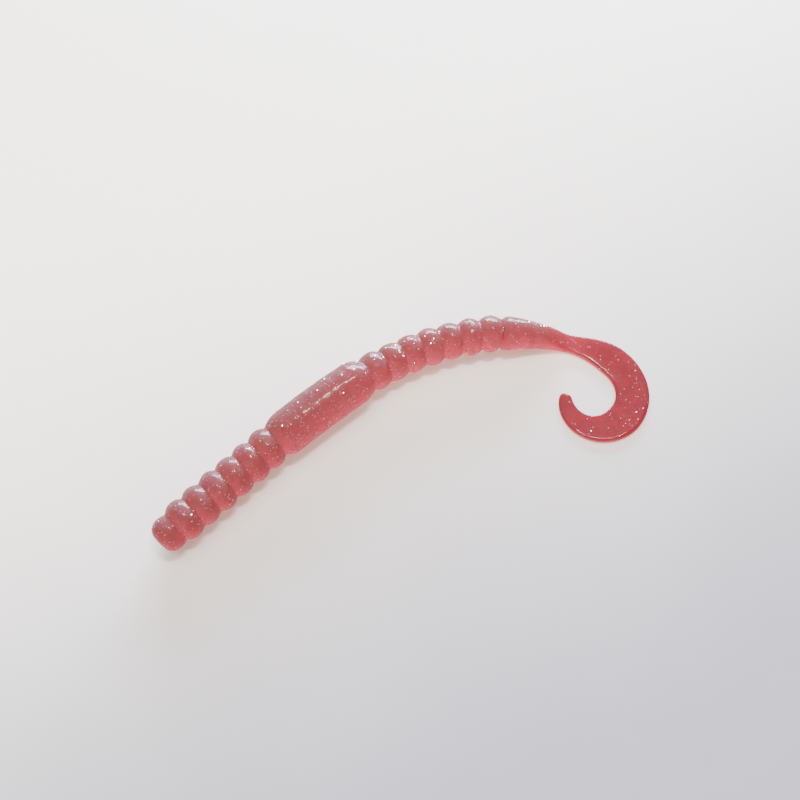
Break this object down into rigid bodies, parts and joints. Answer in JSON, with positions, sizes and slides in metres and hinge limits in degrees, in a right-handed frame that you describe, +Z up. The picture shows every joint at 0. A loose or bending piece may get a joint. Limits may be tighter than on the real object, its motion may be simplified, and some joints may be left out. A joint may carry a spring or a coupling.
{
  "type": "soft plastic worm",
  "caption": "Ribbed soft plastic fishing worm with a blunt nose, a smooth collar, a tapering tail root and a flat curled blade tail, with glitter cast in.",
  "frame": {"origin": "middle of the foot of the bounding box, on the plane that the worm lies on", "axes": "+X from the nose end to the tail end, +Y across, towards the outside of the body bend, +Z up off the table"},
  "size_m": [0.1176, 0.0596, 0.0108],
  "materials": {
    "plastisol": "soft translucent red-pink PVC plastisol, oily wet gloss",
    "glitter": "bright silver foil flakes, some pink and copper, cast into the plastic"
  },
  "bodies": {
    "nose_segment": {"nose_segment": "plastisol", "nose_segment_flakes": "glitter"},
    "front_ring_1": {"front_ring_1": "plastisol", "front_ring_1_flakes": "glitter"},
    "front_ring_2": {"front_ring_2": "plastisol", "front_ring_2_flakes": "glitter"},
    "front_ring_3": {"front_ring_3": "plastisol", "front_ring_3_flakes": "glitter"},
    "front_ring_4": {"front_ring_4": "plastisol", "front_ring_4_flakes": "glitter"},
    "front_ring_5": {"front_ring_5": "plastisol", "front_ring_5_flakes": "glitter"},
    "front_ring_6": {"front_ring_6": "plastisol", "front_ring_6_flakes": "glitter"},
    "collar": {"collar": "plastisol", "collar_flakes": "glitter"},
    "rear_ring_1": {"rear_ring_1": "plastisol", "rear_ring_1_flakes": "glitter"},
    "rear_ring_2": {"rear_ring_2": "plastisol", "rear_ring_2_flakes": "glitter"},
    "rear_ring_3": {"rear_ring_3": "plastisol", "rear_ring_3_flakes": "glitter"},
    "rear_ring_4": {"rear_ring_4": "plastisol", "rear_ring_4_flakes": "glitter"},
    "rear_ring_5": {"rear_ring_5": "plastisol", "rear_ring_5_flakes": "glitter"},
    "rear_ring_6": {"rear_ring_6": "plastisol", "rear_ring_6_flakes": "glitter"},
    "rear_ring_7": {"rear_ring_7": "plastisol", "rear_ring_7_flakes": "glitter"},
    "tail_root": {"tail_root": "plastisol", "tail_root_flakes": "glitter"},
    "tail_blade_1": {"tail_blade_1": "plastisol", "tail_blade_1_flakes": "glitter"},
    "tail_blade_2": {"tail_blade_2": "plastisol", "tail_blade_2_flakes": "glitter"},
    "tail_blade_3": {"tail_blade_3": "plastisol", "tail_blade_3_flakes": "glitter"},
    "tail_blade_4": {"tail_blade_4": "plastisol", "tail_blade_4_flakes": "glitter"},
    "tail_blade_5": {"tail_blade_5": "plastisol", "tail_blade_5_flakes": "glitter"},
    "tail_blade_6": {"tail_blade_6": "plastisol", "tail_blade_6_flakes": "glitter"},
    "tail_blade_7": {"tail_blade_7": "plastisol", "tail_blade_7_flakes": "glitter"},
    "tail_blade_8": {"tail_blade_8": "plastisol", "tail_blade_8_flakes": "glitter"}
  },
  "joints": [
    {"name": "front_sway", "type": "hinge", "parent": "collar", "child": "front_ring_6", "pos_m": [-0.03173, -0.00368, 0.00541], "axis": [0, 0, 1], "range_deg": [-12, 12], "stiffness_Nm_per_rad": 0.008},
    {"name": "front_lift", "type": "hinge", "parent": "front_ring_6", "child": "front_ring_5", "pos_m": [-0.03537, -0.00708, 0.00501], "axis": [-0.6852, 0.7284, 0], "range_deg": [0, 12], "stiffness_Nm_per_rad": 0.008},
    {"name": "front_sway_2", "type": "hinge", "parent": "front_ring_5", "child": "front_ring_4", "pos_m": [-0.03898, -0.0105, 0.00501], "axis": [0, 0, 1], "range_deg": [-12, 12], "stiffness_Nm_per_rad": 0.008},
    {"name": "front_lift_2", "type": "hinge", "parent": "front_ring_4", "child": "front_ring_3", "pos_m": [-0.04259, -0.01394, 0.00501], "axis": [-0.6915, 0.7224, 0], "range_deg": [0, 12], "stiffness_Nm_per_rad": 0.008},
    {"name": "front_sway_3", "type": "hinge", "parent": "front_ring_3", "child": "front_ring_2", "pos_m": [-0.04618, -0.01739, 0.00501], "axis": [0, 0, 1], "range_deg": [-12, 12], "stiffness_Nm_per_rad": 0.008},
    {"name": "front_lift_3", "type": "hinge", "parent": "front_ring_2", "child": "front_ring_1", "pos_m": [-0.04975, -0.02086, 0.00501], "axis": [-0.6978, 0.7163, 0], "range_deg": [0, 12], "stiffness_Nm_per_rad": 0.008},
    {"name": "front_sway_4", "type": "hinge", "parent": "front_ring_1", "child": "nose_segment", "pos_m": [-0.05331, -0.02434, 0.00501], "axis": [0, 0, 1], "range_deg": [-12, 12], "stiffness_Nm_per_rad": 0.001},
    {"name": "rear_sway", "type": "hinge", "parent": "collar", "child": "rear_ring_1", "pos_m": [-0.01036, 0.01363, 0.00541], "axis": [0, 0, 1], "range_deg": [-12, 12], "stiffness_Nm_per_rad": 0.008},
    {"name": "rear_lift", "type": "hinge", "parent": "rear_ring_1", "child": "rear_ring_2", "pos_m": [-0.00611, 0.01637, 0.00473], "axis": [0.5108, -0.8597, 0], "range_deg": [0, 12], "stiffness_Nm_per_rad": 0.008},
    {"name": "rear_sway_2", "type": "hinge", "parent": "rear_ring_2", "child": "rear_ring_3", "pos_m": [-0.00167, 0.01879, 0.00469], "axis": [0, 0, 1], "range_deg": [-12, 12], "stiffness_Nm_per_rad": 0.008},
    {"name": "rear_lift_2", "type": "hinge", "parent": "rear_ring_3", "child": "rear_ring_4", "pos_m": [0.00295, 0.02088, 0.00466], "axis": [0.3769, -0.9262, 0], "range_deg": [0, 12], "stiffness_Nm_per_rad": 0.008},
    {"name": "rear_sway_3", "type": "hinge", "parent": "rear_ring_4", "child": "rear_ring_5", "pos_m": [0.0077, 0.02261, 0.00462], "axis": [0, 0, 1], "range_deg": [-12, 12], "stiffness_Nm_per_rad": 0.008},
    {"name": "rear_lift_3", "type": "hinge", "parent": "rear_ring_5", "child": "rear_ring_6", "pos_m": [0.01257, 0.02398, 0.00458], "axis": [0.2347, -0.9721, 0], "range_deg": [0, 12], "stiffness_Nm_per_rad": 0.008},
    {"name": "rear_sway_4", "type": "hinge", "parent": "rear_ring_6", "child": "rear_ring_7", "pos_m": [0.01753, 0.02498, 0.00455], "axis": [0, 0, 1], "range_deg": [-12, 12], "stiffness_Nm_per_rad": 0.008},
    {"name": "rear_lift_4", "type": "hinge", "parent": "rear_ring_7", "child": "tail_root", "pos_m": [0.02255, 0.02561, 0.00451], "axis": [0.0872, -0.9962, 0], "range_deg": [0, 12], "stiffness_Nm_per_rad": 0.008},
    {"name": "tail_flap", "type": "hinge", "parent": "tail_root", "child": "tail_blade_1", "pos_m": [0.03932, 0.02458, 0.00081], "axis": [-0.061, -0.9981, 0], "range_deg": [0, 40], "stiffness_Nm_per_rad": 0.0001},
    {"name": "tail_uncurl", "type": "hinge", "parent": "tail_blade_1", "child": "tail_blade_2", "pos_m": [0.04535, 0.02279, 0.00079], "axis": [0, 0, 1], "range_deg": [-3, 24], "stiffness_Nm_per_rad": 0.0001},
    {"name": "tail_uncurl_2", "type": "hinge", "parent": "tail_blade_2", "child": "tail_blade_3", "pos_m": [0.05068, 0.01949, 0.00075], "axis": [0, 0, 1], "range_deg": [-3, 24], "stiffness_Nm_per_rad": 0.0001},
    {"name": "tail_uncurl_3", "type": "hinge", "parent": "tail_blade_3", "child": "tail_blade_4", "pos_m": [0.05413, 0.0143, 0.00072], "axis": [0, 0, 1], "range_deg": [-3, 24], "stiffness_Nm_per_rad": 0.0001},
    {"name": "tail_flap_2", "type": "hinge", "parent": "tail_blade_4", "child": "tail_blade_5", "pos_m": [0.05423, 0.0081, 0.00068], "axis": [-0.9544, 0.2985, 0], "range_deg": [0, 40], "stiffness_Nm_per_rad": 0.0001},
    {"name": "tail_uncurl_4", "type": "hinge", "parent": "tail_blade_5", "child": "tail_blade_6", "pos_m": [0.05057, 0.00312, 0.00064], "axis": [0, 0, 1], "range_deg": [-3, 24], "stiffness_Nm_per_rad": 0.0001},
    {"name": "tail_uncurl_5", "type": "hinge", "parent": "tail_blade_6", "child": "tail_blade_7", "pos_m": [0.04458, 0.0017, 0.0006], "axis": [0, 0, 1], "range_deg": [-3, 24], "stiffness_Nm_per_rad": 0.0001},
    {"name": "tail_uncurl_6", "type": "hinge", "parent": "tail_blade_7", "child": "tail_blade_8", "pos_m": [0.03945, 0.00504, 0.00057], "axis": [0, 0, 1], "range_deg": [-3, 24], "stiffness_Nm_per_rad": 0.0001}
  ],
  "couplings": [
    {"joint": "front_sway_2", "follows": "front_sway", "ratio": 1},
    {"joint": "front_lift_2", "follows": "front_lift", "ratio": 1},
    {"joint": "front_sway_3", "follows": "front_sway", "ratio": 1},
    {"joint": "front_lift_3", "follows": "front_lift", "ratio": 1},
    {"joint": "front_sway_4", "follows": "front_sway", "ratio": 1},
    {"joint": "rear_sway_2", "follows": "rear_sway", "ratio": 1},
    {"joint": "rear_lift_2", "follows": "rear_lift", "ratio": 1},
    {"joint": "rear_sway_3", "follows": "rear_sway", "ratio": 1},
    {"joint": "rear_lift_3", "follows": "rear_lift", "ratio": 1},
    {"joint": "rear_sway_4", "follows": "rear_sway", "ratio": 1},
    {"joint": "rear_lift_4", "follows": "rear_lift", "ratio": 1},
    {"joint": "tail_uncurl_2", "follows": "tail_uncurl", "ratio": 1},
    {"joint": "tail_uncurl_3", "follows": "tail_uncurl", "ratio": 1},
    {"joint": "tail_flap_2", "follows": "tail_flap", "ratio": 1},
    {"joint": "tail_uncurl_4", "follows": "tail_uncurl", "ratio": 1},
    {"joint": "tail_uncurl_5", "follows": "tail_uncurl", "ratio": 1},
    {"joint": "tail_uncurl_6", "follows": "tail_uncurl", "ratio": 1}
  ]
}
